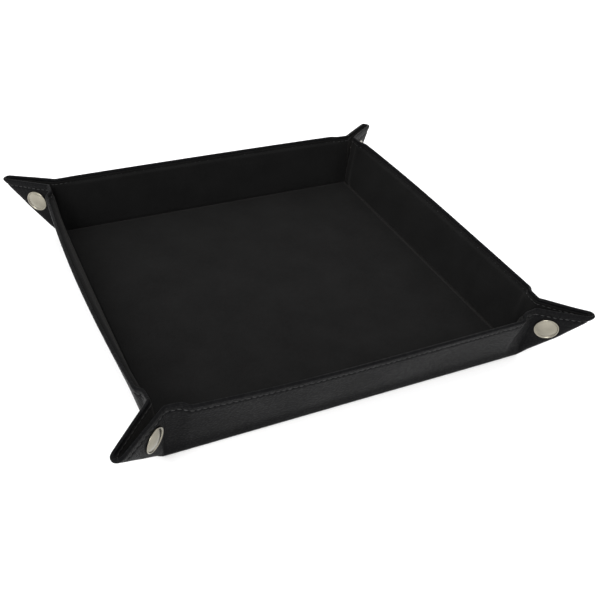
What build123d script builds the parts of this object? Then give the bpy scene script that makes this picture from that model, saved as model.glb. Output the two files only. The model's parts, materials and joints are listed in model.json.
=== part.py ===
from build123d import *
import math
import os

# Folding tray of one leatherette cover and one velvet lining around five stiffener boards.
# Four walls fold up from the floor; the square of sheet at each corner folds on its diagonal
# into an outward ear of two leaves, held shut by a snap fastener.
# Origin: middle of the floor's underside. +Z up, +X right, the front wall faces -Y.

os.makedirs("parts", exist_ok=True)

# Driving dimensions, in millimetres and degrees.
base_side = 210.0  # between opposite floor creases
wall_height = 37.0  # floor crease to rim, along the wall
wall_tilt = 76.0  # wall's angle up from flat when the corners are snapped
cover_t = 1.2  # leatherette cover
board_t = 1.8  # stiffener board
lining_t = 1.0  # velvet lining

board_crease_margin = 4.0  # board to floor crease
board_rim_margin = 5.0  # wall board to rim, room for the sewn edge
board_end_margin = 12.0  # wall board to corner, where the sheet bends freely
board_corner_r = 3.0

fold_gap = 0.15  # cover to a floor crease, which opens outwards
ear_fold_gap = 0.7  # leaf cover to the ear's fold, at its tightest when the ear is shut
inner_fold_gap = 0.6  # cover to a wall and leaf crease, which closes outwards
lining_fold_gap = 1.2  # lining to a floor crease
lining_end_gap = 1.6  # wall lining to a corner crease
leaf_lining_gap = 0.3  # leaf lining to its wall crease
leaf_lining_setback = 5.0  # leaf lining to the ear's fold
leaf_apex_trim = 3.0  # leaf to the corner of the floor
leaf_apex_gap = 0.5  # between a leaf's inner corner and where its crease and fold edges would cross
ear_tip_cut = 3.0  # ear's blunt tip, measured along the fold
lining_tip_cut = 6.0

snap_up = 25.0  # snap centre from the floor corner, along the wall crease
snap_out = 10.0  # snap centre from the wall crease
snap_hole_r = 1.8
shank_r = 1.6
cap_r = 6.8
cap_edge = 0.8
cap_dome = 1.8
dome_steps = 6  # straight lengths in a dome's profile
post_r = 5.0
post_edge = 0.6
post_dome = 1.0
socket_r = 4.6
socket_bore_r = 2.9
socket_bore_depth = 0.8
stud_flange_r = 4.4
stud_r = 2.0
stud_reach = 0.8
stud_chamfer = 0.3
snap_face_gap = 0.15  # each snap half to the ear's middle plane
lining_hole_r = 5.3

half = base_side / 2
stack_t = cover_t + board_t + lining_t
snap_cut = 4 * stack_t  # longer than any hole or barrel at a snap


def leaf_fold(tilt):
    """Angle between a wall and its leaf when the wall stands at this angle from flat."""
    rise = math.sin(math.radians(tilt))
    lean = math.cos(math.radians(tilt))
    tip_z = rise * (2 - math.sqrt(2) * lean) / (1 + rise * rise)
    tip_reach = (1 - tip_z * rise) / lean
    return math.degrees(math.acos(tip_reach))


leaf_tilt = leaf_fold(wall_tilt)
floor_crease = Axis((half, 0, cover_t), (0, 1, 0))
corner_crease = Axis((half, half, cover_t), (1, 0, 0))


def plate(x0, x1, y0, y1, z0, z1):
    """Box between two corners."""
    middle = Pos((x0 + x1) / 2, (y0 + y1) / 2, (z0 + z1) / 2)
    return middle * Box(x1 - x0, y1 - y0, z1 - z0)


def board(x0, x1, y0, y1):
    """Stiffener board with rounded corners, lying on the cover."""
    blank = plate(x0, x1, y0, y1, cover_t, cover_t + board_t)
    return fillet(blank.edges().filter_by(Axis.Z), board_corner_r)


def lined(x0, x1, y0, y1, bx0, bx1, by0, by1):
    """Lining over a panel: flat on the cover at the edges, raised over the board."""
    low = plate(x0, x1, y0, y1, cover_t, cover_t + lining_t)
    raised = plate(bx0 - lining_t, bx1 + lining_t, by0 - lining_t, by1 + lining_t, cover_t, stack_t)
    return low + raised - board(bx0, bx1, by0, by1)


def leaf_outline(crease_gap, fold_setback, tip_cut):
    """Leaf of the corner square between a wall crease and the ear's fold, seen flat."""
    slant = fold_setback * math.sqrt(2)
    tip = 2 * wall_height - tip_cut * math.sqrt(2)
    inner = max(leaf_apex_trim, crease_gap + slant + leaf_apex_gap)
    corners = [
        (inner, crease_gap),
        (wall_height, crease_gap),
        (wall_height, tip - wall_height),
        ((tip + slant) / 2, (tip - slant) / 2),
        (inner, inner - slant),
    ]
    outline = Polyline(*[(half + x, half + y) for x, y in corners], close=True)
    return make_face(outline)


def leaf_sheet(outline, z0, z1, hole_r):
    """One layer of a leaf, flat, with its hole for the snap."""
    sheet = Pos(0, 0, z0) * extrude(outline, z1 - z0)
    hole = Pos(half + snap_up, half + snap_out, (z0 + z1) / 2) * Cylinder(hole_r, snap_cut)
    return sheet - hole


def spun(profile):
    """Solid of revolution about the snap's axis in the flat leaf, from (radius, z) points."""
    outline = Polyline(*[(radius, 0, z) for radius, z in profile], close=True)
    return Pos(half + snap_up, half + snap_out, 0) * revolve(make_face(outline), Axis.Z)


def button(radius, edge, dome):
    """Domed disc against the cover's outer face, with its shank through the leaf."""
    angles = [math.pi / 2 * i / dome_steps for i in range(dome_steps, -1, -1)]
    arc = [(radius * math.sin(a), -edge - (dome - edge) * math.cos(a)) for a in angles]
    return spun([(0, cover_t), (shank_r, cover_t), (shank_r, 0), (radius, 0)] + arc)


def raise_wall(piece):
    """Fold a flat piece up with its wall."""
    return piece.rotate(floor_crease, -wall_tilt)


def raise_leaf(piece):
    """Fold a flat piece out with its leaf and then up with the wall."""
    return raise_wall(piece.rotate(corner_crease, -leaf_tilt))


def ear_plane():
    """Plane midway between an ear's two leaves, at the snap, facing the other leaf."""
    centre = raise_leaf(Vertex(half + snap_up, half + snap_out, cover_t)).center()
    across = (centre.X + centre.Y) / 2
    return Plane(origin=(across, across, centre.Z), z_dir=(-1, 1, 0))


def snap_side(radius):
    """Round snap half between its leaf's cover and the ear's middle plane."""
    depth = snap_cut
    barrel = ear_plane() * (Pos(0, 0, -snap_face_gap - depth / 2) * Cylinder(radius, depth))
    flat_x, flat_y = half + snap_up, half + snap_out
    reach = snap_cut + radius
    inside = plate(flat_x - reach, flat_x + reach, flat_y - reach, flat_y + reach, cover_t, cover_t + reach)
    return barrel & raise_leaf(inside)


def socket():
    """Socket: a ring whose mouth faces the stud."""
    deep = socket_bore_depth + snap_face_gap
    bore = ear_plane() * (Pos(0, 0, -deep / 2) * Cylinder(socket_bore_r, deep))
    return snap_side(socket_r) - bore


def stud():
    """Stud: a flange with a short knob that enters the socket's mouth."""
    length = stud_reach + snap_face_gap
    knob = Pos(0, 0, stud_reach - snap_face_gap - length / 2) * Cylinder(stud_r, length)
    knob = chamfer(knob.edges().sort_by(Axis.Z)[-1], stud_chamfer)
    return snap_side(stud_flange_r) + ear_plane() * knob


def on_wall(piece, index, mirrored=False):
    """Turn a piece from the right wall to another, from its back end to its front end if mirrored."""
    if mirrored:
        piece = mirror(piece, about=Plane.XZ)
    return piece.rotate(Axis.Z, 90 * index)


parts = {}

board_reach = half - board_crease_margin
lining_reach = half - lining_fold_gap
parts["base_cover"] = plate(*[fold_gap - half, half - fold_gap] * 2, 0, cover_t)
parts["base_board"] = board(*[-board_reach, board_reach] * 2)
parts["base_lining"] = lined(*[-lining_reach, lining_reach] * 2, *[-board_reach, board_reach] * 2)

rim = half + wall_height
cover_end = half - inner_fold_gap
lining_end = half - lining_end_gap
board_end = half - board_end_margin
board_span = (half + board_crease_margin, rim - board_rim_margin, -board_end, board_end)
wall_cover = raise_wall(plate(half + fold_gap, rim, -cover_end, cover_end, 0, cover_t))
wall_board = raise_wall(board(*board_span))
wall_lining = raise_wall(lined(half + lining_fold_gap, rim, -lining_end, lining_end, *board_span))
cover_outline = leaf_outline(inner_fold_gap, ear_fold_gap, ear_tip_cut)
lining_outline = leaf_outline(leaf_lining_gap, leaf_lining_setback, lining_tip_cut)
leaf_cover = raise_leaf(leaf_sheet(cover_outline, 0, cover_t, snap_hole_r))
leaf_lining = raise_leaf(leaf_sheet(lining_outline, cover_t, cover_t + lining_t, lining_hole_r))
snap_cap = raise_leaf(button(cap_r, cap_edge, cap_dome))
snap_post = raise_leaf(button(post_r, post_edge, post_dome))
snap_socket = socket()
snap_stud = stud()

walls = ["right", "back", "left", "front"]
corners = ["back_right", "back_left", "front_left", "front_right"]
cap_walls = ["right", "left", "front", "front"]  # the wall whose leaf holds each corner's cap
for index, wall in enumerate(walls):
    parts[wall + "_cover"] = on_wall(wall_cover, index)
    parts[wall + "_board"] = on_wall(wall_board, index)
    parts[wall + "_lining"] = on_wall(wall_lining, index)

for index, corner in enumerate(corners):
    pair = [(index, False), ((index + 1) % 4, True)]
    for turn, mirrored in pair:
        leaf = corner + "_leaf_" + walls[turn]
        parts[leaf + "_cover"] = on_wall(leaf_cover, turn, mirrored)
        parts[leaf + "_lining"] = on_wall(leaf_lining, turn, mirrored)
        if walls[turn] == cap_walls[index]:
            parts[corner + "_cap"] = on_wall(snap_cap, turn, mirrored)
            parts[corner + "_socket"] = on_wall(snap_socket, turn, mirrored)
        else:
            parts[corner + "_post"] = on_wall(snap_post, turn, mirrored)
            parts[corner + "_stud"] = on_wall(snap_stud, turn, mirrored)

for name, solid in parts.items():
    export_step(solid, "parts/" + name + ".step")
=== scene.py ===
import json
import logging
import math
from dataclasses import dataclass, field
from enum import Enum
from typing import Any

import bmesh
import bpy
import numpy as np
from mathutils import Matrix, Vector


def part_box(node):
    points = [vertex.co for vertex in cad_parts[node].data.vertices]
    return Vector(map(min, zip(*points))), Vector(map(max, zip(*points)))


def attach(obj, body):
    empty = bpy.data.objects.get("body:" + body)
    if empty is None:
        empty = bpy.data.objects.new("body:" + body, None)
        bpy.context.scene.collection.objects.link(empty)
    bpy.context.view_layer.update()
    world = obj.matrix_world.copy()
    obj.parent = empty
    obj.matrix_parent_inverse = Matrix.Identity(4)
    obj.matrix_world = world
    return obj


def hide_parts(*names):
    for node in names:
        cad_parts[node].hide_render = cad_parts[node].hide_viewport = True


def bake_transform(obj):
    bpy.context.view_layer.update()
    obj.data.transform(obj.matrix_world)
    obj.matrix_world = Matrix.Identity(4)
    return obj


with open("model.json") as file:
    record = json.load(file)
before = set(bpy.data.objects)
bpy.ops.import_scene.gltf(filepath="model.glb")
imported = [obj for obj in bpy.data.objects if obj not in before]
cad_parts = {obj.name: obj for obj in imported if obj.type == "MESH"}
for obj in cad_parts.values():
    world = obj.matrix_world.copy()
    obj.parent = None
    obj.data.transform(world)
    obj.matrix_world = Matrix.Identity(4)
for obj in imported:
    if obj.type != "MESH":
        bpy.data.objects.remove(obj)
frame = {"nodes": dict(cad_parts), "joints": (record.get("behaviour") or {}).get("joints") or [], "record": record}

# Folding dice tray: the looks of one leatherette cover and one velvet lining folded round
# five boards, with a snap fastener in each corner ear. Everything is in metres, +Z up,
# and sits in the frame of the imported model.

MM = 0.001
log = logging.getLogger("dice_tray")
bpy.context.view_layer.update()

Array = np.ndarray

# Grid lines across the hem, in millimetres from the sheet's edge, close where it rolls over.
HEM_STEPS = (0.0, 0.12, 0.35, 0.7, 1.1, 1.45, 1.7, 1.95, 2.3, 2.7, 3.1, 3.4, 3.6, 3.85, 4.2, 4.6)
CLOSEST_LINES = 0.1 * MM


class Wall(Enum):
    """The four walls, numbered by quarter turns from the right wall."""

    RIGHT = 0
    BACK = 1
    LEFT = 2
    FRONT = 3

    @property
    def body(self) -> str:
        """Name of the wall's rigid body."""
        return self.name.lower() + "_wall"

    def node(self, layer: str) -> str:
        """Name of one of the wall's CAD nodes."""
        return f"{self.name.lower()}_{layer}"


class Corner(Enum):
    """The four corners, each between a wall and the next one anticlockwise."""

    BACK_RIGHT = 0
    BACK_LEFT = 1
    FRONT_LEFT = 2
    FRONT_RIGHT = 3

    @property
    def title(self) -> str:
        """The corner's name in node and body names."""
        return self.name.lower()

    def leaf(self, wall: Wall) -> str:
        """Name of the body of this ear's leaf on a wall."""
        return f"{self.title}_leaf_{wall.name.lower()}"


class Face(Enum):
    """The side of the sheet that a seam is sewn on."""

    OUTSIDE = -1
    INSIDE = 1


def corner_of(wall: Wall, end: int) -> Corner:
    """The corner at one end of a wall.

    Args:
        wall: The wall.
        end: +1 for its anticlockwise end, -1 for its clockwise end.

    Returns:
        The corner there.
    """
    return Corner(wall.value if end > 0 else (wall.value - 1) % 4)


def smoothstep(x: Array) -> Array:
    """Cubic ramp from 0 to 1 as x goes from 0 to 1."""
    t = np.clip(x, 0.0, 1.0)
    return t * t * (3.0 - 2.0 * t)


@dataclass(frozen=True)
class TraySizes:
    """The tray's dimensions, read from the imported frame.

    Attributes:
        half: Floor's middle to a floor crease.
        height: Floor crease to rim, along the wall.
        cover: Thickness of the leatherette.
        board: Thickness of the stiffener boards.
        lining: Thickness of the velvet.
        board_start: Floor crease to the boards on both sides of it.
        board_stop: Floor crease to the far edge of a wall board.
        board_end: Middle of a wall to the end of its board.
    """

    half: float
    height: float
    cover: float
    board: float
    lining: float
    board_start: float
    board_stop: float
    board_end: float

    @classmethod
    def from_frame(cls) -> "TraySizes":
        """Reads the sizes from the frame's joints and boxes.

        Returns:
            The sizes, in metres.
        """
        fold = next(joint for joint in frame["joints"] if joint["name"] == "right_wall_fold")
        half, _, cover = fold["pos_m"]
        tilt = math.radians(fold["range_deg"][1])
        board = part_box("base_board")[1].z - cover
        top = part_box("right_board")[1].z - cover - board * math.cos(tilt)
        return cls(
            half=half,
            height=(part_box("right_cover")[1].z - cover) / math.sin(tilt),
            cover=cover,
            board=board,
            lining=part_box("base_lining")[1].z - cover - board,
            board_start=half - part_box("base_board")[1].x,
            board_stop=top / math.sin(tilt),
            board_end=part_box("right_board")[1].y,
        )


@dataclass(frozen=True)
class WallShape:
    """How a wall leans, in degrees up from flat: more in its middle, less where snaps pull it.

    Attributes:
        middle: Angle at the wall's middle.
        board_ends: Angles at the clockwise and anticlockwise ends of the board.
        corners: Angles at the clockwise and anticlockwise corners.
        bulge: How far the floor crease swells outwards.
    """

    middle: float
    board_ends: tuple[float, float]
    corners: tuple[float, float]
    bulge: float = 0.5 * MM


@dataclass(frozen=True)
class EarShape:
    """How an ear's soft leather trough stands out from its corner.

    Attributes:
        radius: Radius of the trough's rounded bottom.
        rise: Angle of the ear's bottom above the table at the corner, in degrees.
        lift: Further angle gained by its tip, in degrees.
        opening: Lean of each leaf away from the ear's middle plane, in degrees.
        swing: Turn of the whole ear about its corner, anticlockwise, in degrees.
    """

    radius: float = 2.4 * MM
    rise: float = 38.0
    lift: float = 5.0
    opening: float = 4.0
    swing: float = 0.0


WALL_SHAPES = {
    Wall.RIGHT: WallShape(middle=72.5, board_ends=(73.5, 78.5), corners=(79.0, 84.0)),
    Wall.BACK: WallShape(middle=77.5, board_ends=(79.5, 79.0), corners=(84.0, 80.0)),
    Wall.LEFT: WallShape(middle=70.5, board_ends=(76.0, 76.0), corners=(82.0, 82.0)),
    Wall.FRONT: WallShape(middle=69.5, board_ends=(74.5, 70.0), corners=(80.0, 78.5), bulge=1.5 * MM),
}
EAR_SHAPES = {
    Corner.BACK_RIGHT: EarShape(rise=41.0, lift=-2.5, swing=-4.0),
    Corner.BACK_LEFT: EarShape(rise=39.5, lift=1.0, swing=1.5),
    Corner.FRONT_LEFT: EarShape(rise=40.0, lift=-1.5, swing=-3.0),
    Corner.FRONT_RIGHT: EarShape(rise=41.0, lift=7.0, swing=5.0),
}


@dataclass
class FoldedSheet:
    """Maps the flat sheet to its folded place: creases, bowed walls and corner ears.

    Attributes:
        sizes: The tray's dimensions.
        tip_radius: Rounding of the flat sheet's corners.
        soften: Spread of the smoothing that turns sharp folds into rolled creases.
        snap_at: Snap centre in a flat leaf: along the wall crease, and out from it.
        snap_flat: Radius round a snap where the leaf lies flat against it.
        snap_fade: Width over which that flatness fades out.
        ear_start: Length over which an ear's bottom opens to its full radius.
        bulge_reach: How far a floor crease's swelling spreads.
        kink_share: Part of a wall's turn past its board that happens in the kink beside it.
        kink_speed: How many times shorter that kink is than the boardless end of the wall.
        hem_pull: How far past its wall crease an ear still follows that crease.
        hem_power: How quickly it starts to follow it.
        least_radius: Radius of an ear's fold where it is tightest.
        held_margin: Distance from a fold or crease over which the snap loses its hold.
        average: Width of the rolled crease's averaging kernel, in steps.
        probe: Distance of the points that give a surface normal.
    """

    sizes: TraySizes
    tip_radius: float = 5.0 * MM
    soften: float = 0.6 * MM
    snap_at: tuple[float, float] = (25.0 * MM, 10.0 * MM)
    snap_flat: float = 7.2 * MM
    snap_fade: float = 5.0 * MM
    ear_start: float = 10.0 * MM
    bulge_reach: float = 5.0 * MM
    kink_share: float = 0.75
    kink_speed: float = 2.6
    hem_pull: float = 1.3
    hem_power: float = 1.4
    least_radius: float = 0.1 * MM
    held_margin: float = 3.0 * MM
    average: float = 1.3
    probe: float = 0.4 * MM

    def wall_angle(self, wall: Wall, across: Array) -> Array:
        """Angle of a wall up from flat.

        Args:
            wall: The wall.
            across: Distances from the wall's middle, along its crease.

        Returns:
            The angles in radians.
        """
        shape = WALL_SHAPES[wall]
        board_end, half = self.sizes.board_end, self.sizes.half
        second = across > 0.0
        end = np.where(second, shape.board_ends[1], shape.board_ends[0])
        corner = np.where(second, shape.corners[1], shape.corners[0])
        along = np.abs(across)
        board = shape.middle + (end - shape.middle) * np.clip(along / board_end, 0.0, 1.0) ** 2
        past = (along - board_end) / (half - board_end)
        kink = self.kink_share * smoothstep(past * self.kink_speed)
        step = kink + (1.0 - self.kink_share) * np.clip(past, 0.0, 1.0)
        return np.radians(board + (corner - end) * step)

    def fold_line(self, ear: EarShape, along: Array) -> tuple[Array, Array, Array]:
        """Bottom of an ear's trough.

        Args:
            ear: The ear's shape.
            along: Distances from the corner, along the fold.

        Returns:
            Reach from the corner, height, and slope in radians.
        """
        start = math.radians(ear.rise)
        bend = math.radians(ear.lift) / (self.sizes.height * math.sqrt(2.0))
        slope = start + bend * along
        reach = (np.sin(slope) - math.sin(start)) / bend
        height = (math.cos(start) - np.cos(slope)) / bend
        return reach, height, slope

    def trough(self, ear: EarShape, end: int, along: Array, off: Array) -> Array:
        """Points of an ear's leaf.

        Args:
            ear: The ear's shape.
            end: +1 or -1, the end of the wall that the ear stands at.
            along: Distances from the corner, along the fold.
            off: Distances off the fold.

        Returns:
            Places from the corner.
        """
        reach, height, slope = self.fold_line(ear, along)
        radius = ear.radius * smoothstep(along / self.ear_start) + self.least_radius
        turn = math.radians(90.0 - ear.opening)
        arc = np.minimum(off, radius * turn)
        rest = off - arc
        side = radius * np.sin(arc / radius) + rest * math.cos(turn)
        up = radius * (1.0 - np.cos(arc / radius)) + rest * math.sin(turn)
        forth = reach - up * np.sin(slope)
        way = math.radians(45.0 + ear.swing * end)
        return np.stack(
            [
                forth * math.cos(way) + side * math.sin(way),
                forth * math.sin(way) - side * math.cos(way),
                height + up * np.cos(slope),
            ],
            axis=-1,
        )

    def free_ear(self, wall: Wall, end: int, up: Array, out: Array) -> Array:
        """Points of a leaf before its snap flattens it.

        Args:
            wall: The leaf's wall.
            end: +1 or -1, the end of the wall.
            up: Distances from the corner, up the wall crease.
            out: Distances from the wall crease.

        Returns:
            Places from the corner.
        """
        ear = EAR_SHAPES[corner_of(wall, end)]
        angle = math.radians(WALL_SHAPES[wall].corners[1 if end > 0 else 0])
        along = (up + out) / math.sqrt(2.0)
        off = (up - out) / math.sqrt(2.0)
        half_way = self.sizes.height / math.sqrt(2.0)
        crease_along = np.minimum(along, half_way)
        crease_up = crease_along * math.sqrt(2.0)
        hem = np.stack(
            [crease_up * math.cos(angle), np.zeros_like(up), crease_up * math.sin(angle)], axis=-1
        )
        miss = hem - self.trough(ear, end, crease_along, crease_along)
        reach = np.maximum(np.minimum(along, 2.0 * half_way - along), 1.0 * MM)
        share = np.clip(off / reach, 0.0, self.hem_pull) ** self.hem_power
        fade = 1.0 - smoothstep((along - half_way) / half_way)
        return self.trough(ear, end, along, off) + miss * (share * fade)[:, None]

    def snap_frame(self, wall: Wall, end: int) -> tuple[Array, Array, Array]:
        """Snap centre on a leaf, from the corner, and the leaf's directions up and out there."""
        step = 1.5 * MM
        up = np.array([0.0, step, -step, 0.0, 0.0]) + self.snap_at[0]
        out = np.array([0.0, 0.0, 0.0, step, -step]) + self.snap_at[1]
        points = self.free_ear(wall, end, up, out)
        rise = points[1] - points[2]
        rise /= np.linalg.norm(rise)
        away = points[3] - points[4]
        away -= rise * (rise @ away)
        return points[0], rise, away / np.linalg.norm(away)

    def ear_point(self, wall: Wall, end: int, up: Array, out: Array) -> Array:
        """Place of a leaf's point from its corner: up the wall crease and out from it."""
        free = self.free_ear(wall, end, up, out)
        centre, rise, away = self.snap_frame(wall, end)
        to_snap = (up - self.snap_at[0])[:, None] * rise + (out - self.snap_at[1])[:, None] * away
        from_snap = np.hypot(up - self.snap_at[0], out - self.snap_at[1])
        held = 1.0 - smoothstep((from_snap - self.snap_flat) / self.snap_fade)
        held *= smoothstep((up - out) / math.sqrt(2.0) / self.held_margin)
        held *= smoothstep(out / self.held_margin)
        return free + (centre + to_snap - free) * held[:, None]

    def sharp(self, x: Array, y: Array) -> Array:
        """Folded place of flat points, before the creases are softened."""
        half, cover = self.sizes.half, self.sizes.cover
        place = np.zeros((len(x), 3))
        sector = np.where(np.abs(y) <= np.abs(x), np.where(x >= 0, 0, 2), np.where(y >= 0, 1, 3))
        for wall in Wall:
            here = np.flatnonzero(sector == wall.value)
            turn = Turn(wall.value)
            u, v = turn.back(x[here], y[here])
            spot = np.stack([u, v, np.zeros_like(u)], axis=-1)
            raised = (u > half) & (np.abs(v) <= half)
            up = u[raised] - half
            angle = self.wall_angle(wall, v[raised])
            spot[raised, 0] = half + up * np.cos(angle)
            spot[raised, 2] = up * np.sin(angle)
            for end in (1, -1):
                ear = (u > half) & (v * end > half)
                point = self.ear_point(wall, end, u[ear] - half, v[ear] * end - half)
                spot[ear] = point * [1.0, end, 1.0] + [half, half * end, 0.0]
            place[here, 0], place[here, 1] = turn.on(spot[:, 0], spot[:, 1])
            place[here, 2] = spot[:, 2] + cover
        return place + self.bulged(x, y)

    def bulged(self, x: Array, y: Array) -> Array:
        """Outward swelling of the floor creases at flat points."""
        push = np.zeros((len(x), 3))
        for wall in Wall:
            turn = Turn(wall.value)
            u, v = turn.back(x, y)
            far = np.hypot(u - self.sizes.half, np.maximum(np.abs(v) - self.sizes.half, 0.0))
            swell = WALL_SHAPES[wall].bulge * np.exp(-((far / self.bulge_reach) ** 2))
            out_x, out_y = turn.on(swell, np.zeros_like(swell))
            push[:, 0] += out_x
            push[:, 1] += out_y
        return push

    def soft(self, x: Array, y: Array) -> Array:
        """Folded place of flat points, with every crease rolled by an average round it.

        Args:
            x: Flat places across.
            y: Flat places along.

        Returns:
            The folded points.
        """
        steps = np.arange(-2, 3)
        weight = np.exp(-0.5 * (steps / self.average) ** 2)
        weight /= weight.sum()
        total = np.zeros((len(x), 3))
        for i, wide in zip(steps, weight):
            for j, tall in zip(steps, weight):
                total += wide * tall * self.sharp(x + i * self.soften, y + j * self.soften)
        return total

    def rounded(self, x: Array, y: Array) -> tuple[Array, Array]:
        """Flat points with the sheet's square corners drawn in to round ones."""
        start = self.sizes.half + self.sizes.height - self.tip_radius
        over_x = (np.abs(x) - start) / self.tip_radius
        over_y = (np.abs(y) - start) / self.tip_radius
        tip = (over_x > 0.0) & (over_y > 0.0)
        length = np.maximum(np.hypot(over_x, over_y), 1e-9)
        shrink = np.where(tip, np.maximum(over_x, over_y) / length, 1.0)
        new_x = np.where(tip, np.sign(x) * (start + over_x * shrink * self.tip_radius), x)
        new_y = np.where(tip, np.sign(y) * (start + over_y * shrink * self.tip_radius), y)
        return new_x, new_y

    def surface(self, x: Array, y: Array) -> tuple[Array, Array]:
        """Folded points and their normals, which face the lining's side.

        Args:
            x: Flat places across, before the corners are rounded.
            y: Flat places along, before the corners are rounded.

        Returns:
            The points and the unit normals.
        """
        flat_x, flat_y = self.rounded(x, y)
        step = self.probe
        across = self.soft(flat_x + step, flat_y) - self.soft(flat_x - step, flat_y)
        along = self.soft(flat_x, flat_y + step) - self.soft(flat_x, flat_y - step)
        normal = np.cross(across, along)
        normal /= np.linalg.norm(normal, axis=1)[:, None]
        return self.soft(flat_x, flat_y), normal

    def edge_distance(self, x: Array, y: Array) -> Array:
        """Distance of flat points from the sheet's edge."""
        return self.sizes.half + self.sizes.height - np.maximum(np.abs(x), np.abs(y))


@dataclass(frozen=True)
class Turn:
    """Quarter turns about the tray's middle."""

    quarters: int

    def on(self, x: Array, y: Array) -> tuple[Array, Array]:
        """Turns points anticlockwise."""
        c, s = ((1, 0), (0, 1), (-1, 0), (0, -1))[self.quarters % 4]
        return c * x - s * y, s * x + c * y

    def back(self, x: Array, y: Array) -> tuple[Array, Array]:
        """Turns points clockwise."""
        return Turn(-self.quarters).on(x, y)


@dataclass(frozen=True)
class Hem:
    """The sewn edge where the cover is turned over the lining.

    Attributes:
        seam: Seam's distance from the edge.
        groove: Depth that the thread pulls the sheet in.
        groove_width: Half-width of that groove.
        puff: How far the edge outside the seam swells.
        pinch: How much thinner each half of the sheet is at the very edge.
        turned: Width of leatherette that shows on the inside.
        tuck: Width over which the turned edge ends.
        tucked: Share of the lining's thickness left under the turned edge.
        overlap: How far the lining's face stays clear of the cover's hidden face.
        follow: Share of the cover's swelling that the lining follows.
    """

    seam: float = 3.6 * MM
    groove: float = 0.40 * MM
    groove_width: float = 0.75 * MM
    puff: float = 0.10 * MM
    pinch: float = 0.28 * MM
    turned: float = 1.7 * MM
    tuck: float = 0.3 * MM
    tucked: float = 0.25
    overlap: float = 0.15 * MM
    follow: float = 0.8

    def swell(self, edge: Array) -> Array:
        """Extra thickness of the sheet near its edge, negative in the groove."""
        puff = self.puff * np.sin(np.pi * np.clip(edge / self.seam, 0.0, 1.0)) ** 0.7
        groove = self.groove * np.exp(-(((edge - self.seam) / self.groove_width) ** 2))
        return puff - groove

    def roll(self, edge: Array, half_thick: Array) -> Array:
        """Half thickness near the edge, rounded to nothing at the very edge."""
        inside = np.clip(edge / half_thick, 0.0, 1.0)
        return half_thick * np.sqrt(np.maximum(1.0 - (1.0 - inside) ** 2, 0.0))


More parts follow.
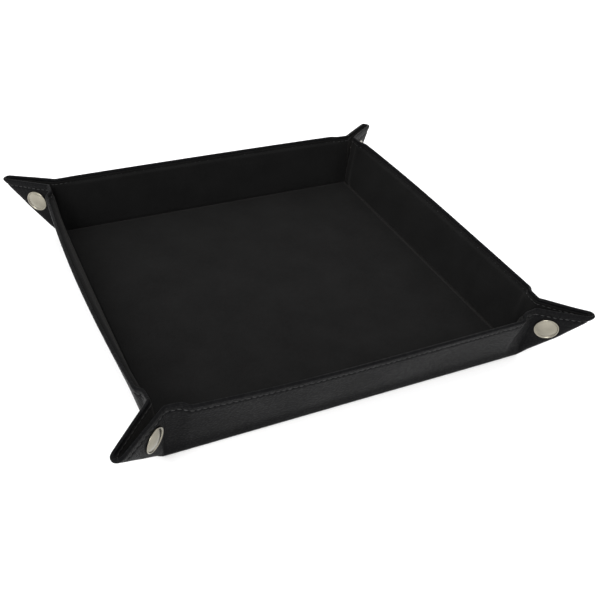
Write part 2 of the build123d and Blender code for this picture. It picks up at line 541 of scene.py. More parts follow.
class SheetGrid:
    """A grid of flat points, finer at creases and edges, with every layer's surface on it."""

    def __init__(self, sheet: FoldedSheet, hem: Hem) -> None:
        """Lays out the grid and folds it.

        Args:
            sheet: The folding rule.
            hem: The sewn edge.
        """
        self.sheet = sheet
        self.sizes = sheet.sizes
        self.hem = hem
        self.crease_margin = 3.0 * MM
        lines = self._lines()
        grid_x, grid_y = np.meshgrid(lines, lines, indexing="ij")
        self.x, self.y = grid_x.ravel(), grid_y.ravel()
        self.points, self.normals = sheet.surface(self.x, self.y)
        self.flat_x, self.flat_y = sheet.rounded(self.x, self.y)
        self.edge = sheet.edge_distance(self.x, self.y)
        self.cells = self._cells(len(lines))
        self.centres = tuple(
            np.array([places[list(cell)].mean() for cell in self.cells])
            for places in (self.x, self.y)
        )

    def _lines(self) -> Array:
        """Grid lines from one edge of the sheet to the other."""
        half, sizes, margin = self.sizes.half, self.sizes, self.crease_margin
        far = half + sizes.height
        board_end, fray = sizes.board_end, 5.0 * MM
        wall_start, wall_stop = half + sizes.board_start, half + sizes.board_stop
        spans = [
            np.linspace(0.0, board_end - fray, 15),
            np.linspace(board_end - fray, board_end, 6),
            np.linspace(board_end, half - sizes.board_start, 9),
            np.linspace(half - margin, half + margin + 1.0 * MM, 12),
            np.linspace(wall_start, wall_stop, 26),
            far - np.array(HEM_STEPS) * MM,
            [half],
        ]
        found = np.unique(np.round(np.concatenate(spans), 7))
        kept = (board_end, half - sizes.board_start, half - margin, half, wall_start, wall_stop,
                far - self.hem.turned, far)
        needed = {round(value, 7) for value in kept}
        spaced = [found[0]]
        for value in found[1:]:
            if value - spaced[-1] >= CLOSEST_LINES:
                spaced.append(value)
            elif round(float(value), 7) in needed:
                spaced[-1] = value
        positive = np.array(spaced)
        return np.concatenate([-positive[:0:-1], positive])

    def _cells(self, count: int) -> list[tuple[int, ...]]:
        """Cells as corner indices, split in two where a diagonal fold crosses them."""
        cells: list[tuple[int, ...]] = []
        for i in range(count - 1):
            for j in range(count - 1):
                a, b = i * count + j, (i + 1) * count + j
                c, d = b + 1, a + 1
                if i == j:
                    cells += [(a, b, c), (a, c, d)]
                elif i + j == count - 2:
                    cells += [(a, b, d), (b, c, d)]
                else:
                    cells.append((a, b, c, d))
        return cells

    def board_mask(self) -> Array:
        """1 over the boards, falling softly to 0 past their edges."""
        sizes, soft, rim = self.sizes, self.sizes.board_start - 0.2 * MM, 1.8 * MM
        reach = np.maximum(np.abs(self.x), np.abs(self.y))
        cross = np.minimum(np.abs(self.x), np.abs(self.y))
        floor = smoothstep((sizes.half - reach) / soft)
        up = reach - sizes.half
        wall = smoothstep(up / soft)
        wall *= smoothstep((sizes.board_stop + rim - up) / rim)
        wall *= smoothstep((sizes.board_end + 2.0 * soft - cross) / (2.0 * soft))
        return np.maximum(floor, wall)

    def layer(self, offset: Array) -> Array:
        """The folded surface moved along its normals."""
        return self.points + self.normals * offset[:, None]

    def cover_outside(self) -> Array:
        """Outer face of the leatherette."""
        middle, thick = self._rim_section()
        rim = middle - self.hem.roll(self.edge, thick)
        return self.layer(rim)

    def cover_inside(self) -> Array:
        """Hidden face of the leatherette, turned over the lining at the very edge."""
        middle, thick = self._rim_section()
        turned = middle + self.hem.roll(self.edge, thick)
        share = smoothstep((self.hem.turned + self.hem.tuck - self.edge) / self.hem.tuck)
        return self.layer(turned * share)

    def lining_top(self) -> Array:
        """Velvet face."""
        sizes, hem = self.sizes, self.hem
        top = sizes.lining + sizes.board * self.board_mask() + hem.swell(self.edge) * hem.follow
        rise = smoothstep((self.edge - hem.turned) / (0.5 * MM))
        share = hem.tucked + (1.0 - hem.tucked) * rise
        return self.layer(hem.overlap + (top - hem.overlap) * share)

    def lining_back(self) -> Array:
        """Hidden face of the velvet."""
        return self.layer(0.04 * MM + self.sizes.board * self.board_mask())

    def _rim_section(self) -> tuple[Array, Array]:
        """Middle offset and half thickness of cover and lining together."""
        sizes = self.sizes
        swell = self.hem.swell(self.edge)
        middle = np.full_like(self.edge, 0.5 * (sizes.lining - sizes.cover))
        pinch = self.hem.pinch * smoothstep(1.0 - self.edge / (1.5 * self.hem.seam))
        return middle, 0.5 * (sizes.lining + sizes.cover) + swell - pinch


def new_piece(name: str, mesh: bpy.types.Mesh) -> bpy.types.Object:
    """Puts a mesh in the scene as an object at the origin."""
    piece = bpy.data.objects.new(name, mesh)
    bpy.context.scene.collection.objects.link(piece)
    return piece


def solid_from_grid(
    name: str, grid: SheetGrid, chosen: Array, below: Array, above: Array
) -> bpy.types.Object:
    """Closed solid between two layers of the grid, over the chosen cells.

    Args:
        name: Name of the piece.
        grid: The grid.
        chosen: One boolean for each of the grid's cells.
        below: Points of the layer on the cover's side.
        above: Points of the layer on the lining's side.

    Returns:
        The piece, with flat places as its UV map.
    """
    cells = [grid.cells[index] for index in np.flatnonzero(chosen)]
    used = sorted({corner for cell in cells for corner in cell})
    order = {corner: index for index, corner in enumerate(used)}
    shift = len(used)
    tops = [tuple(order[corner] for corner in cell) for cell in cells]
    bottoms = [tuple(index + shift for index in reversed(top)) for top in tops]
    edges: dict[tuple[int, int], int] = {}
    for top in tops:
        for start, end in zip(top, top[1:] + top[:1]):
            if (end, start) in edges:
                del edges[(end, start)]
            else:
                edges[(start, end)] = 1
    sides = [(end, start, start + shift, end + shift) for start, end in edges]
    points = np.concatenate([above[used], below[used]])
    mesh = bpy.data.meshes.new(name)
    mesh.from_pydata(points.tolist(), [], tops + bottoms + sides)
    flat = np.stack([grid.flat_x[used], grid.flat_y[used]], axis=-1)
    flat = np.concatenate([flat, flat])
    uv_map = mesh.uv_layers.new(name="flat_place")
    corners = np.zeros(len(mesh.loops), np.int32)
    mesh.loops.foreach_get("vertex_index", corners)
    uv_map.data.foreach_set("uv", flat[corners].ravel().astype(np.float32))
    clean_mesh(mesh)
    return new_piece(name, mesh)


def clean_mesh(mesh: bpy.types.Mesh, sharp: float = 50.0) -> None:
    """Merges doubled points, drops empty faces, and shades smooth but for sharp edges.

    Args:
        mesh: The mesh to clean.
        sharp: Edges that turn by more than this many degrees stay sharp.
    """
    work = bmesh.new()
    work.from_mesh(mesh)
    bmesh.ops.remove_doubles(work, verts=work.verts, dist=1e-6)
    bmesh.ops.dissolve_degenerate(work, dist=1e-7, edges=work.edges)
    work.to_mesh(mesh)
    work.free()
    mesh.polygons.foreach_set("use_smooth", [True] * len(mesh.polygons))
    mesh.set_sharp_from_angle(angle=math.radians(sharp))
    mesh.update()


def linear(hex_colour: str) -> tuple[float, float, float, float]:
    """Turns an sRGB hex colour to linear red, green, blue and alpha."""
    channels = [int(hex_colour[i : i + 2], 16) / 255.0 for i in (1, 3, 5)]
    mixed = [c / 12.92 if c <= 0.04045 else ((c + 0.055) / 1.055) ** 2.4 for c in channels]
    return (*mixed, 1.0)


def add_node(
    tree: bpy.types.NodeTree, kind: str, links: dict[Any, Any] | None = None, **settings: Any
) -> bpy.types.Node:
    """Adds a node, sets it up and links or sets its inputs.

    Args:
        tree: The node tree.
        kind: The node's type name.
        links: Inputs by name or number, each an output socket or a value.
        **settings: The node's own settings.

    Returns:
        The new node.
    """
    node = tree.nodes.new(kind)
    for name, value in settings.items():
        setattr(node, name, value)
    for name, value in (links or {}).items():
        if isinstance(value, bpy.types.NodeSocket):
            tree.links.new(value, node.inputs[name])
        else:
            node.inputs[name].default_value = value
    return node


def blank_material(name: str) -> tuple[bpy.types.Material, bpy.types.NodeTree]:
    """A new node material with nothing in it."""
    material = bpy.data.materials.new(name)
    material.use_nodes = True
    material.node_tree.nodes.clear()
    return material, material.node_tree


def finish_material(tree: bpy.types.NodeTree, shader: dict[str, Any]) -> None:
    """Ends a material in one Principled shader.

    Args:
        tree: The material's nodes.
        shader: The shader's inputs, each a value or an output socket.
    """
    surface = add_node(tree, "ShaderNodeBsdfPrincipled", shader)
    add_node(tree, "ShaderNodeOutputMaterial", {"Surface": surface.outputs[0]})


def remap(tree: bpy.types.NodeTree, value: Any, low: float, high: float, start: float = 0.3,
          end: float = 0.7) -> bpy.types.NodeSocket:
    """Spreads a texture's value over a range.

    Args:
        tree: The material's nodes.
        value: The texture's output.
        low: Result at start.
        high: Result at end.
        start: Value that gives low.
        end: Value that gives high.

    Returns:
        The spread value.
    """
    node = add_node(tree, "ShaderNodeMapRange", {
        "Value": value, "From Min": start, "From Max": end, "To Min": low, "To Max": high})
    return node.outputs[0]


@dataclass(frozen=True)
class Leatherette:
    """Polyurethane leatherette, embossed with a pebble grain and semi-matt lacquered.

    Attributes:
        colour: Colour on the pebbles.
        valley: Painted shade between the pebbles, darker than the colour on their tops.
        pebble: Pebble width, drawn a little coarser than the real 0.8 mm so that it shows.
        depth: Height of the pebbles.
        roughness: Gloss of the lacquer.
    """

    colour: str = "#0c0c0d"
    valley: str = "#050506"
    pebble: float = 1.15 * MM
    depth: float = 0.16 * MM
    roughness: float = 0.42

    def make(self) -> bpy.types.Material:
        """Builds the material: pebbles and hairline creases, with painted shade darkening the colour between the
        pebbles.
        """
        material, tree = blank_material("black_pebbled_leatherette")
        place = add_node(tree, "ShaderNodeUVMap", uv_map="flat_place").outputs[0]
        wander = add_node(tree, "ShaderNodeTexNoise", {
            "Vector": place, "Scale": 0.5 / self.pebble, "Detail": 2.0})
        bent = add_node(tree, "ShaderNodeVectorMath", {
            0: wander.outputs["Color"], 1: (self.pebble * 0.9,) * 3}, operation="MULTIPLY")
        moved = add_node(tree, "ShaderNodeVectorMath", {
            0: place, 1: bent.outputs[0]}, operation="ADD")
        pebbles = add_node(tree, "ShaderNodeTexVoronoi", {
            "Vector": moved.outputs[0], "Scale": 1.0 / self.pebble, "Smoothness": 0.6},
            feature="SMOOTH_F1")
        creases = add_node(tree, "ShaderNodeTexNoise", {
            "Vector": place, "Scale": 1.0 / (4.0 * MM), "Detail": 6.0, "Roughness": 0.62})
        wear = add_node(tree, "ShaderNodeTexNoise", {
            "Vector": place, "Scale": 1.0 / (38.0 * MM), "Detail": 3.0})
        dome = remap(tree, pebbles.outputs["Distance"], 1.0, 0.0, 0.08, 0.62)
        fine = add_node(tree, "ShaderNodeMath", {
            0: creases.outputs[0], 1: 0.55}, operation="MULTIPLY")
        relief = add_node(tree, "ShaderNodeMath", {
            0: dome, 1: fine.outputs[0]}, operation="ADD")
        # Painted shade: the colour darkens from the pebble tops into the valleys between them.
        tint = add_node(tree, "ShaderNodeMix", {
            "Factor": dome, 6: linear(self.valley), 7: linear(self.colour)}, data_type="RGBA")
        gloss = add_node(tree, "ShaderNodeMath", {
            0: remap(tree, wear.outputs[0], self.roughness - 0.05, self.roughness + 0.07),
            1: remap(tree, pebbles.outputs["Distance"], -0.03, 0.10, 0.1, 0.6)}, operation="ADD")
        bump = add_node(tree, "ShaderNodeBump", {
            "Strength": 0.75, "Distance": self.depth, "Height": relief.outputs[0]})
        finish_material(tree, {
            "Base Color": tint.outputs[2], "Roughness": gloss.outputs[0],
            "Specular IOR Level": 0.05, "Normal": bump.outputs[0]})
        return material


@dataclass(frozen=True)
class Velvet:
    """Short-pile polyester velvet, flocked black, with a nap that turns light in soft patches.

    Attributes:
        colour: Colour where the pile stands up.
        brushed: Colour where the nap lies over.
        pile: Width of a tuft, drawn coarser than the real 0.2 mm so that it shows.
    """

    colour: str = "#0b0b0b"
    brushed: str = "#121212"
    pile: float = 0.55 * MM

    def make(self) -> bpy.types.Material:
        """Builds the material: dull tufts with a grazing sheen."""
        material, tree = blank_material("black_short_pile_velvet")
        place = add_node(tree, "ShaderNodeUVMap", uv_map="flat_place").outputs[0]
        tufts = add_node(tree, "ShaderNodeTexNoise", {
            "Vector": place, "Scale": 1.0 / self.pile, "Detail": 3.0, "Roughness": 0.7})
        nap = add_node(tree, "ShaderNodeTexNoise", {
            "Vector": place, "Scale": 1.0 / (26.0 * MM), "Detail": 4.0, "Roughness": 0.55})
        fleck = add_node(tree, "ShaderNodeTexNoise", {
            "Vector": place, "Scale": 1.0 / (2.4 * MM), "Detail": 2.0})
        blend = add_node(tree, "ShaderNodeMath", {
            0: remap(tree, nap.outputs[0], 0.0, 0.75), 1: remap(tree, fleck.outputs[0], 0.0, 0.25)},
            operation="ADD")
        tint = add_node(tree, "ShaderNodeMix", {
            "Factor": blend.outputs[0], 6: linear(self.colour), 7: linear(self.brushed)},
            data_type="RGBA")
        bump = add_node(tree, "ShaderNodeBump", {
            "Strength": 0.7, "Distance": 0.25 * MM, "Height": tufts.outputs[0]})
        finish_material(tree, {
            "Base Color": tint.outputs[2], "Roughness": 0.95, "Specular IOR Level": 0.05,
            "Sheen Weight": 0.12, "Sheen Roughness": 0.45, "Sheen Tint": linear("#8e8c8a"),
            "Normal": bump.outputs[0]})
        return material


@dataclass(frozen=True)
class Nickel:
    """Nickel plate on pressed brass: bright and slightly warm, with faint polishing marks.

    Attributes:
        name: Name of the material.
        colour: Reflected colour.
        dulled: Reflected colour where it is handled.
        roughness: Gloss.
        mark: Spacing of the polishing marks.
    """

    name: str = "polished_nickel_plate"
    colour: str = "#8c887c"
    dulled: str = "#7e7a6f"
    roughness: float = 0.2
    mark: float = 0.35 * MM

    def make(self) -> bpy.types.Material:
        """Builds the material."""
        material, tree = blank_material(self.name)
        place = add_node(tree, "ShaderNodeTexCoord").outputs["Object"]
        marks = add_node(tree, "ShaderNodeTexNoise", {
            "Vector": place, "Scale": 1.0 / self.mark, "Detail": 2.0})
        smear = add_node(tree, "ShaderNodeTexNoise", {
            "Vector": place, "Scale": 1.0 / (5.0 * MM), "Detail": 3.0})
        tint = add_node(tree, "ShaderNodeMix", {
            "Factor": remap(tree, smear.outputs[0], 0.0, 1.0), 6: linear(self.colour),
            7: linear(self.dulled)}, data_type="RGBA")
        bump = add_node(tree, "ShaderNodeBump", {
            "Strength": 0.12, "Distance": 0.02 * MM, "Height": marks.outputs[0]})
        finish_material(tree, {
            "Base Color": tint.outputs[2], "Metallic": 1.0,
            "Roughness": remap(tree, smear.outputs[0], self.roughness - 0.05, self.roughness + 0.08),
            "Normal": bump.outputs[0]})
        return material


@dataclass(frozen=True)
class Fibreboard:
    """Grey pressed fibreboard with visible paper fibres."""

    colour: str = "#8a8478"
    fibre: str = "#6f6a60"

    def make(self) -> bpy.types.Material:
        """Builds the material."""
        material, tree = blank_material("grey_fibreboard")
        place = add_node(tree, "ShaderNodeTexCoord").outputs["Object"]
        fibres = add_node(tree, "ShaderNodeTexNoise", {
            "Vector": place, "Scale": 1.0 / (1.5 * MM), "Detail": 5.0, "Roughness": 0.7})
        tint = add_node(tree, "ShaderNodeMix", {
            "Factor": remap(tree, fibres.outputs[0], 0.0, 1.0), 6: linear(self.colour),
            7: linear(self.fibre)}, data_type="RGBA")
        bump = add_node(tree, "ShaderNodeBump", {
            "Strength": 0.4, "Distance": 0.1 * MM, "Height": fibres.outputs[0]})
        finish_material(tree, {
            "Base Color": tint.outputs[2], "Roughness": 0.85, "Normal": bump.outputs[0]})
        return material


@dataclass(frozen=True)
class Thread:
    """Bonded black polyester thread: a faint gloss along its twist."""

    colour: str = "#0d0d0e"
    shade: str = "#070708"
    twist: float = 0.35 * MM

    def make(self) -> bpy.types.Material:
        """Builds the material."""
        material, tree = blank_material("black_polyester_thread")
        place = add_node(tree, "ShaderNodeTexCoord").outputs["Object"]
        strands = add_node(tree, "ShaderNodeTexNoise", {
            "Vector": place, "Scale": 1.0 / self.twist, "Detail": 1.0})
        bump = add_node(tree, "ShaderNodeBump", {
            "Strength": 0.5, "Distance": 0.05 * MM, "Height": strands.outputs[0]})
        tint = add_node(tree, "ShaderNodeMix", {
            "Factor": strands.outputs[0], 6: linear(self.shade), 7: linear(self.colour)},
            data_type="RGBA")
        finish_material(tree, {
            "Base Color": tint.outputs[2], "Roughness": 0.48, "Normal": bump.outputs[0]})
        return material


@dataclass
class Finishes:
    """Every material of the tray, made once."""

    leatherette: bpy.types.Material = field(default_factory=lambda: Leatherette().make())
    velvet: bpy.types.Material = field(default_factory=lambda: Velvet().make())
    nickel: bpy.types.Material = field(default_factory=lambda: Nickel().make())
    pressed: bpy.types.Material = field(default_factory=lambda: Nickel(
        "pressed_nickel_inner", "#bdb8ae", "#a49e92", 0.32).make())
    fibreboard: bpy.types.Material = field(default_factory=lambda: Fibreboard().make())
    thread: bpy.types.Material = field(default_factory=lambda: Thread().make())


def dress(piece: bpy.types.Object, material: bpy.types.Material) -> None:
    """Gives a piece one material."""
    piece.data.materials.clear()
    piece.data.materials.append(material)


@dataclass
class SoftLayer:
    """One sheet of the tray, cover or lining, cut at its creases into pieces.

    Attributes:
        grid: The folded grid.
        title: Layer's name in the CAD nodes.
        slot: The record's material slot; not used.
        material: The sheet's finish.
        below: Points of the face on the cover's side.
        above: Points of the face on the lining's side.
        inset: How far the sheet stops short of the tray's edge.
        bend: Where a leaf's bend starts and ends, measured across its wall crease; not used.
    """

    grid: SheetGrid
    title: str
    slot: str
    material: bpy.types.Material
    below: Array
    above: Array
    inset: float = 0.0
    bend: tuple[float, float] = (-2.2 * MM, 3.2 * MM)

    def build(self) -> None:
        """Makes the floor, the four walls and the eight leaves."""
        pieces = [self.floor()]
        for wall in Wall:
            pieces.append(self.wall(wall))
            pieces += [self.leaf(wall, end) for end in (1, -1)]
        for piece in pieces:
            log.info("%s: %d faces", piece.name, len(piece.data.polygons))

    def _made(self, name: str, chosen: Array, node: str) -> bpy.types.Object:
        """Makes, dresses and names one cut of the sheet.

        Args:
            name: Name of the piece.
            chosen: Which of the grid's cells it covers.
            node: CAD node it stands for.

        Returns:
            The piece.
        """
        cell_x, cell_y = self.grid.centres
        kept = self.grid.sheet.edge_distance(cell_x, cell_y) > self.inset
        piece = solid_from_grid(name, self.grid, chosen & kept, self.below, self.above)
        dress(piece, self.material)
        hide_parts(node)
        return piece

    def floor(self) -> bpy.types.Object:
        """The floor panel, up to just inside the floor creases."""
        cell_x, cell_y = self.grid.centres
        reach = self.grid.sizes.half - self.grid.crease_margin
        inside = np.maximum(np.abs(cell_x), np.abs(cell_y)) < reach
        piece = self._made(f"{self.title}_sheet_floor", inside, f"base_{self.title}")
        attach(piece, "base")
        return piece

    def wall(self, wall: Wall) -> bpy.types.Object:
        """A wall panel with its floor crease."""
        sizes, margin = self.grid.sizes, self.grid.crease_margin
        u, v = Turn(wall.value).back(*self.grid.centres)
        chosen = (u > sizes.half - margin) & (np.abs(v) < np.minimum(u, sizes.half))
        name = f"{self.title}_sheet_{wall.name.lower()}"
        piece = self._made(name, chosen, wall.node(self.title))
        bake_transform(piece)
        return piece

    def leaf(self, wall: Wall, end: int) -> bpy.types.Object:
        """A leaf of an ear with its wall crease.

        Args:
            wall: The wall that the leaf hangs on.
            end: +1 for the wall's anticlockwise end, -1 for its clockwise end.

        Returns:
            The piece.
        """
        sizes = self.grid.sizes
        corner = corner_of(wall, end)
        u, v = Turn(wall.value).back(*self.grid.centres)
        chosen = (u > sizes.half) & (v * end > sizes.half)
        chosen &= v * end < u
        body = corner.leaf(wall)
        piece = self._made(f"{self.title}_sheet_{body}", chosen, f"{body}_{self.title}")
        _, up, out = self.grid.sheet.snap_frame(wall, end)
        across = out + np.array([0.0, 1.0, 0.0])
        across = (across - up * (across @ up)) / np.linalg.norm(across)
        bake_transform(piece)
        return piece


@dataclass
class Boards:
    """The stiffeners: the floor's CAD board, and wall boards that follow the bowed walls.

    Attributes:
        grid: The folded grid.
        material: Fibreboard.
    """

    grid: SheetGrid
    material: bpy.types.Material

    def build(self) -> None:
        """Dresses the floor board and makes the wall boards."""
        dress(frame["nodes"]["base_board"], self.material)
        sizes = self.grid.sizes
        below = self.grid.layer(np.full_like(self.grid.edge, 0.02 * MM))
        above = self.grid.layer(np.full_like(self.grid.edge, sizes.board))
        for wall in Wall:
            u, v = Turn(wall.value).back(*self.grid.centres)
            up = u - sizes.half
            chosen = (up > sizes.board_start) & (up < sizes.board_stop)
            chosen &= np.abs(v) < sizes.board_end
            name = f"board_{wall.name.lower()}"
            piece = solid_from_grid(name, self.grid, chosen, below, above)
            dress(piece, self.material)
            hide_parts(wall.node("board"))
            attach(piece, wall.body)
            log.info("%s: wall stiffener", name)


class StitchTree:
    """Geometry Nodes that lay lockstitches along a path."""

    PITCH = "Stitch pitch"
    LENGTH = "Stitch length"
    THREAD = "Thread radius"
    SEED = "Seed"

    def __init__(self, material: bpy.types.Material) -> None:
        """Builds the node tree.

        Args:
            material: The thread's finish.
        """
        tree = bpy.data.node_groups.new("lockstitch_seam", "GeometryNodeTree")
        face = tree.interface
        face.new_socket("Geometry", in_out="INPUT", socket_type="NodeSocketGeometry")
        sizes = ((self.PITCH, 3.0 * MM), (self.LENGTH, 2.3 * MM), (self.THREAD, 0.24 * MM))
        for name, value in sizes:
            socket = face.new_socket(name, in_out="INPUT", socket_type="NodeSocketFloat")
            socket.default_value = value
        seed = face.new_socket(self.SEED, in_out="INPUT", socket_type="NodeSocketInt")
        seed.default_value = 7
        face.new_socket("Geometry", in_out="OUTPUT", socket_type="NodeSocketGeometry")
        given = add_node(tree, "NodeGroupInput").outputs
        path = add_node(tree, "GeometryNodeMeshToCurve", {"Mesh": given["Geometry"]})
        spaced = add_node(tree, "GeometryNodeResampleCurve", {
            "Curve": path.outputs[0], "Length": given[self.PITCH]}, mode="LENGTH")
        ball = add_node(tree, "GeometryNodeMeshUVSphere", {
            "Segments": 8, "Rings": 6, "Radius": 1.0})
        long = add_node(tree, "ShaderNodeMath", {0: given[self.LENGTH], 1: 0.5},
                        operation="MULTIPLY")
        size = add_node(tree, "ShaderNodeCombineXYZ", {
            "X": long.outputs[0], "Y": given[self.THREAD], "Z": given[self.THREAD]})
        stitch = add_node(tree, "GeometryNodeTransform", {
            "Geometry": ball.outputs[0], "Scale": size.outputs[0]})
        tangent = add_node(tree, "GeometryNodeInputTangent")
        facing = add_node(tree, "FunctionNodeAlignEulerToVector", {
            "Vector": tangent.outputs[0]}, axis="X")
        uneven = add_node(tree, "FunctionNodeRandomValue", {
            2: 0.9, 3: 1.08, "Seed": given[self.SEED]})
        placed = add_node(tree, "GeometryNodeInstanceOnPoints", {
            "Points": spaced.outputs[0], "Instance": stitch.outputs[0],
            "Rotation": facing.outputs[0], "Scale": uneven.outputs[1]})
        real = add_node(tree, "GeometryNodeRealizeInstances", {"Geometry": placed.outputs[0]})
        dressed = add_node(tree, "GeometryNodeSetMaterial", {
            "Geometry": real.outputs[0], "Material": material})
        add_node(tree, "NodeGroupOutput", {"Geometry": dressed.outputs[0]})
        self.tree = tree
        self.material = material

    def sew(self, name: str, path: Array) -> bpy.types.Object:
        """Lays stitches along a path and returns them as a plain mesh piece.

        Args:
            name: Name of the piece.
            path: Points of the seam.

        Returns:
            The stitches.
        """
        guide = bpy.data.meshes.new(name + "_path")
        guide.from_pydata(path.tolist(), [(i, i + 1) for i in range(len(path) - 1)], [])
        carrier = new_piece(name + "_path", guide)
        modifier = carrier.modifiers.new("seam", "NODES")
        modifier.node_group = self.tree
        for item in self.tree.interface.items_tree:
            if item.in_out == "INPUT" and item.name == self.SEED:
                modifier[item.identifier] = len(path)
        bpy.context.view_layer.update()
        evaluated = carrier.evaluated_get(bpy.context.evaluated_depsgraph_get())
        mesh = bpy.data.meshes.new_from_object(evaluated)
        carrier.modifiers.remove(modifier)
        bpy.data.objects.remove(carrier)
        mesh.name = name
        mesh.polygons.foreach_set("use_smooth", [True] * len(mesh.polygons))
        return new_piece(name, mesh)


@dataclass
class Seam:
    """The seam that joins cover and lining all round, sewn on both faces.

    Attributes:
        grid: The folded grid.
        stitches: The stitch maker.
        sunk: How far the thread's middle lies below the face; below 0, it stands proud.
        wall_trim: Gap from a wall's corner to its first stitch.
        leaf_trim: Gap from a leaf's crease to its first stitch.
        tip_trim: Gap from the seam's corner at an ear's tip to the last stitch.
    """

    grid: SheetGrid
    stitches: StitchTree
    sunk: float = -0.05 * MM
    wall_trim: float = 0.8 * MM
    leaf_trim: float = 1.2 * MM
    tip_trim: float = 0.6 * MM

    def build(self) -> None:
        """Sews every wall and leaf, outside and inside."""
        sizes = self.grid.sizes
        for wall in Wall:
            wall_run = np.linspace(-sizes.half + self.wall_trim, sizes.half - self.wall_trim, 150)
            for face in Face:
                self._sew(wall, wall_run, face, wall.body)
                for end in (1, -1):
                    reach = sizes.half + sizes.height - self.grid.hem.seam
                    first, last = sizes.half + self.leaf_trim, reach - self.tip_trim
                    leaf_run = end * np.linspace(first, last, 60)
                    self._sew(wall, leaf_run, face, corner_of(wall, end).leaf(wall))

    def _sew(self, wall: Wall, run: Array, face: Face, body: str) -> None:
        """Sews one stretch.

        Args:
            wall: The wall whose side of the sheet is sewn.
            run: Places along the wall.
            face: Outside or inside.
            body: The body that the stitches ride on.
        """
        sizes, hem = self.grid.sizes, self.grid.hem
        reach = np.full_like(run, sizes.half + sizes.height - hem.seam)
        x, y = Turn(wall.value).on(reach, run)
        points, normals = self.grid.sheet.surface(x, y)
        swell = float(hem.swell(np.array([hem.seam]))[0])
        depth = sizes.cover if face is Face.OUTSIDE else sizes.lining
        offset = face.value * (depth + swell - self.sunk)
        name = f"stitches_{face.name.lower()}_{body}"
        piece = self.stitches.sew(name, points + normals * offset)
        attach(piece, body)
        log.info("%s: %d faces", name, len(piece.data.polygons))


@dataclass(frozen=True)
class SnapPart:
    """A round pressed snap part: a profile spun about its axis.

    Attributes:
        profile: Radius and height pairs from the outer middle to the inner end of the shank.
        segments: Steps round.
    """

    profile: tuple[tuple[float, float], ...]
    segments: int = 72

    def build(self, name: str, place: Matrix) -> bpy.types.Object:
        """Spins the profile into a closed solid.

        Args:
            name: Name of the piece.
            place: Where its axis and its seat on the leather go.

        Returns:
            The piece.
        """
        rings = [point for point in self.profile if point[0] > 0.0]
        first, last = self.profile[0][1], self.profile[-1][1]
        points = [Vector((0.0, 0.0, first))]
        for radius, height in rings:
            for step in range(self.segments):
                angle = 2.0 * math.pi * step / self.segments
                points.append(Vector((radius * math.cos(angle), radius * math.sin(angle), height)))
        points.append(Vector((0.0, 0.0, last)))
        end = len(points) - 1
        faces: list[tuple[int, ...]] = []
        for step in range(self.segments):
            after = (step + 1) % self.segments
            faces.append((0, 1 + step, 1 + after))
            for ring in range(len(rings) - 1):
                a, b = 1 + ring * self.segments, 1 + (ring + 1) * self.segments
                faces.append((a + step, b + step, b + after, a + after))
            base = 1 + (len(rings) - 1) * self.segments
            faces.append((base + step, end, base + after))
        mesh = bpy.data.meshes.new(name)
        mesh.from_pydata([place @ point for point in points], [], faces)
        clean_mesh(mesh, 60.0)
        return new_piece(name, mesh)


def arc_points(
    centre: tuple[float, float], radius: float, start: float, end: float, steps: int
) -> list[tuple[float, float]]:
    """Points of an arc in a profile, with angles in degrees from the radial direction."""
    angles = [math.radians(start + (end - start) * i / steps) for i in range(steps + 1)]
    return [(centre[0] + radius * math.cos(a), centre[1] + radius * math.sin(a)) for a in angles]


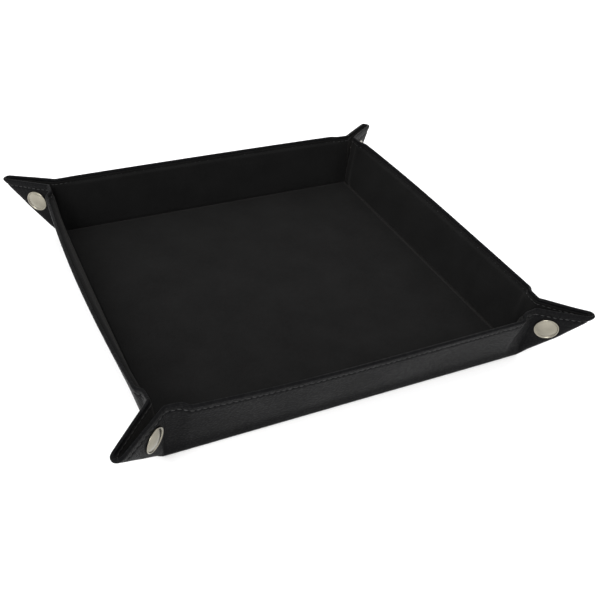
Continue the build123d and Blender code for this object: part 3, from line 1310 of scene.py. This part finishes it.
@dataclass
class Snaps:
    """The four snap fasteners: a cap riveted to a socket, and a post riveted to a stud.

    Attributes:
        finishes: The tray's materials.
        sizes: The tray's dimensions.
        sheet: The folding rule, which says where the snaps sit.
        cap_radius: Radius of a cap.
        cap_height: Height of its dome.
        bead: Radius of the rolled edge of a cap.
        post_radius: Radius of the small back disc.
        post_height: Height of that disc.
        shank_radius: Radius of the shank through the leaf.
        socket_radius: Radius of the socket's foot.
        bore_radius: Radius of the socket's hole.
        stud_radius: Radius of the stud's knob.
    """

    finishes: Finishes
    sizes: TraySizes
    sheet: FoldedSheet
    cap_radius: float = 6.8 * MM
    cap_height: float = 1.7 * MM
    bead: float = 0.45 * MM
    post_radius: float = 5.0 * MM
    post_height: float = 1.0 * MM
    shank_radius: float = 1.6 * MM
    socket_radius: float = 4.6 * MM
    bore_radius: float = 2.7 * MM
    stud_radius: float = 2.1 * MM

    def cap(self) -> SnapPart:
        """Low dome inside a rolled edge, with a shallow channel between them."""
        inner = self.cap_radius - 2.4 * self.bead
        rise = self.cap_height - self.bead
        dome_radius = (inner * inner + rise * rise) / (2.0 * rise)
        spread = math.degrees(math.asin(inner / dome_radius))
        dome = arc_points((0.0, self.cap_height - dome_radius), dome_radius, 90.0, 90.0 - spread, 16)
        edge = arc_points((self.cap_radius - self.bead, self.bead), self.bead, 165.0, -90.0, 14)
        return SnapPart(tuple(dome + edge + self._shank()))

    def post(self) -> SnapPart:
        """Small disc with a rolled edge and a hollow rivet in the middle."""
        bead, lip_radius, well = 0.3 * MM, 0.3 * MM, 0.25 * MM
        hole = [(0.0, well), (1.15 * MM, well), (1.25 * MM, self.post_height - 2.0 * lip_radius)]
        lip = arc_points((1.6 * MM, self.post_height - lip_radius), lip_radius, 150.0, 30.0, 6)
        slope = [(2.4 * MM, 2.0 * bead), (3.6 * MM, 1.7 * bead)]
        edge = arc_points((self.post_radius - bead, bead), bead, 120.0, -90.0, 10)
        return SnapPart(tuple(hole + lip + slope + edge + self._shank()))

    def socket(self, height: float) -> SnapPart:
        """Ring with a rolled mouth, which the stud's knob snaps into."""
        lip_radius = 0.5 * (self.socket_radius - 0.5 * MM - self.bore_radius)
        bore = [(0.0, 0.9 * MM), (self.bore_radius, 0.9 * MM)]
        middle = (self.bore_radius + lip_radius, height - lip_radius)
        lip = arc_points(middle, lip_radius, 180.0, 0.0, 12)
        foot = [(self.socket_radius, 0.5 * MM), (self.socket_radius, 0.0), (0.0, 0.0)]
        return SnapPart(tuple(bore + lip + foot))

    def stud(self, height: float) -> SnapPart:
        """Waisted knob with a round top on a flat foot."""
        radius = self.stud_radius
        top = arc_points((radius - 0.7 * MM, height - 0.7 * MM), 0.7 * MM, 90.0, -30.0, 8)
        waist = [(radius - 0.35 * MM, height - 1.4 * MM), (radius - 0.2 * MM, 0.9 * MM)]
        foot_radius = self.socket_radius - 0.2 * MM
        foot = [(3.0 * MM, 0.8 * MM), (foot_radius, 0.5 * MM), (foot_radius, 0.0), (0.0, 0.0)]
        return SnapPart(tuple([(0.0, height)] + top + waist + foot))

    def _shank(self) -> list[tuple[float, float]]:
        """Profile of the shank that goes through the leather."""
        depth = -self.sizes.cover
        return [(self.shank_radius, 0.0), (self.shank_radius, depth), (0.0, depth)]

    def build(self) -> None:
        """Makes every cap, post, socket and stud, each on its own leaf."""
        bodies = frame["record"]["behaviour"]["bodies"]
        for corner in Corner:
            for kind in ("cap", "post", "socket", "stud"):
                node = f"{corner.title}_{kind}"
                body = next(name for name, nodes in bodies.items() if node in nodes)
                outside = kind in ("cap", "post")
                place, gap = self._seat(corner, body, outside)
                part = {"cap": self.cap, "post": self.post,
                        "socket": lambda: self.socket(gap),
                        "stud": lambda: self.stud(gap + 0.6 * MM)}[kind]()
                piece = part.build(f"snap_{node}", place)
                finish = self.finishes.nickel if outside else self.finishes.pressed
                dress(piece, finish)
                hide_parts(node)
                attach(piece, body)
                log.info("%s rides on %s", piece.name, body)

    def _seat(self, corner: Corner, body: str, outside: bool) -> tuple[Matrix, float]:
        """Place of a snap part on a leaf, and the room up to the ear's middle plane.

        Args:
            corner: The corner.
            body: The leaf.
            outside: True on the cover's outer face, False on its inner face.

        Returns:
            A matrix whose Z axis points away from the leather, and the distance from its
            origin to the ear's middle plane.
        """
        wall = next(w for w in Wall if corner.leaf(w) == body)
        end = 1 if corner_of(wall, 1) is corner else -1
        centre, up, out = self.sheet.snap_frame(wall, end)
        outward = -np.cross(up, out)
        way = math.radians(45.0 + EAR_SHAPES[corner].swing * end)
        gap = float(centre @ np.array([math.sin(way), -math.cos(way), 0.0]))
        half, cover = self.sizes.half, self.sizes.cover
        spot = np.array([half, half, cover]) + centre
        if outside:
            spot = spot + outward * cover
        vectors = []
        for vector in (up, outward if outside else -outward, spot):
            x, y = Turn(wall.value).on(vector[0], vector[1] * end)
            vectors.append(Vector((x, y, vector[2])))
        first, axis, origin = vectors
        turn = Matrix((first, axis.cross(first), axis)).transposed().to_4x4()
        return Matrix.Translation(origin) @ turn, gap - 0.1 * MM


@dataclass(frozen=True)
class Studio:
    """Pale floor, soft lights and the camera.

    Attributes:
        azimuth: Camera's angle round the tray, in degrees from looking along +Y.
        elevation: Its angle above the table, in degrees.
        roll: Its turn about its own axis, in degrees.
        distance: Its distance from the point it looks at.
        focal: Focal length in millimetres, on a 36 mm wide sensor.
        aim_right: Point looked at, right of the tray's middle as the camera sees it.
        aim_up: Point looked at, above the tray's middle as the camera sees it.
        floor_reach: Half the side of the paper under the tray.
        floor_drop: How far the paper lies below the tray, so that the two don't flicker.
        paper_glow: Light painted into the paper as a glow, which lifts the tray's cast shadow towards white.
        room_light: Strength of the white room round the set.
        softbox_place: Where the soft light hangs, in front and to the left.
        softbox_size: Length of its side.
        softbox_power: Its watts.
    """

    azimuth: float = -28.08
    elevation: float = 36.41
    roll: float = 4.55
    distance: float = 0.5220
    focal: float = 50.81
    aim_right: float = 0.01648
    aim_up: float = -0.00641
    floor_reach: float = 6.0
    floor_drop: float = 0.1 * MM
    paper_glow: float = 0.1
    room_light: float = 1.4
    softbox_place: tuple[float, float, float] = (-0.9, -0.9, 1.1)
    softbox_size: float = 0.8
    softbox_power: float = 18.0

    def camera(self) -> None:
        """Places the camera."""
        az, el, roll = (math.radians(a) for a in (self.azimuth, self.elevation, self.roll))
        forward = Vector((-math.sin(az) * math.cos(el), math.cos(az) * math.cos(el), -math.sin(el)))
        level = Vector((math.cos(az), math.sin(az), 0.0))
        above = level.cross(forward)
        right = level * math.cos(roll) + above * math.sin(roll)
        up = above * math.cos(roll) - level * math.sin(roll)
        place = right * self.aim_right + up * self.aim_up - forward * self.distance
        data = bpy.data.cameras.new("studio_camera")
        data.sensor_width = 36.0
        data.lens = self.focal
        camera = bpy.data.objects.new("studio_camera", data)
        turn = Matrix((right, up, -forward)).transposed().to_4x4()
        camera.matrix_world = Matrix.Translation(place) @ turn
        bpy.context.scene.collection.objects.link(camera)
        bpy.context.scene.camera = camera

    def floor(self) -> None:
        """A wide pale sheet of matt paper under the tray, with a painted glow that lifts the tray's shadow towards
        white.
        """
        mesh = bpy.data.meshes.new("studio_floor")
        signs = ((-1, -1), (1, -1), (1, 1), (-1, 1))
        corners = [(x * self.floor_reach, y * self.floor_reach, -self.floor_drop) for x, y in signs]
        mesh.from_pydata(corners, [], [(0, 1, 2, 3)])
        floor = new_piece("studio_floor", mesh)
        material, tree = blank_material("pale_matt_paper")
        # The paper's emission is painted light that lifts the tray's cast shadow towards white.
        finish_material(tree, {
            "Base Color": linear("#f2f2f2"), "Roughness": 0.9, "Specular IOR Level": 0.1,
            "Emission Color": linear("#ffffff"), "Emission Strength": self.paper_glow})
        dress(floor, material)

    def softbox(self) -> None:
        """Hangs one square soft light that faces the tray."""
        data = bpy.data.lights.new("front_softbox", "AREA")
        data.size = self.softbox_size
        data.energy = self.softbox_power
        lamp = bpy.data.objects.new("front_softbox", data)
        lamp.location = self.softbox_place
        lamp.rotation_euler = (-Vector(self.softbox_place)).to_track_quat("-Z", "Y").to_euler()
        bpy.context.scene.collection.objects.link(lamp)

    def build(self) -> None:
        """Sets the whole studio up."""
        scene = bpy.context.scene
        scene.view_settings.view_transform = "Standard"
        world = bpy.data.worlds.new("studio_white")
        world.use_nodes = True
        background = world.node_tree.nodes["Background"]
        background.inputs[0].default_value = linear("#ffffff")
        background.inputs[1].default_value = self.room_light
        scene.world = world
        self.floor()
        self.softbox()
        self.camera()


def main() -> None:
    """Builds the tray piece by piece, then the studio."""
    logging.basicConfig(level=logging.INFO, format="%(name)s: %(message)s")
    sizes = TraySizes.from_frame()
    sheet = FoldedSheet(sizes)
    grid = SheetGrid(sheet, Hem())
    finishes = Finishes()
    SoftLayer(grid, "cover", "cover_leatherette", finishes.leatherette,
              grid.cover_outside(), grid.cover_inside()).build()
    SoftLayer(grid, "lining", "lining_velvet", finishes.velvet,
              grid.lining_back(), grid.lining_top(), grid.hem.turned).build()
    Boards(grid, finishes.fibreboard).build()
    Seam(grid, StitchTree(finishes.thread)).build()
    Snaps(finishes, sizes, sheet).build()
    Studio().build()


if __name__ == "__main__":
    main()
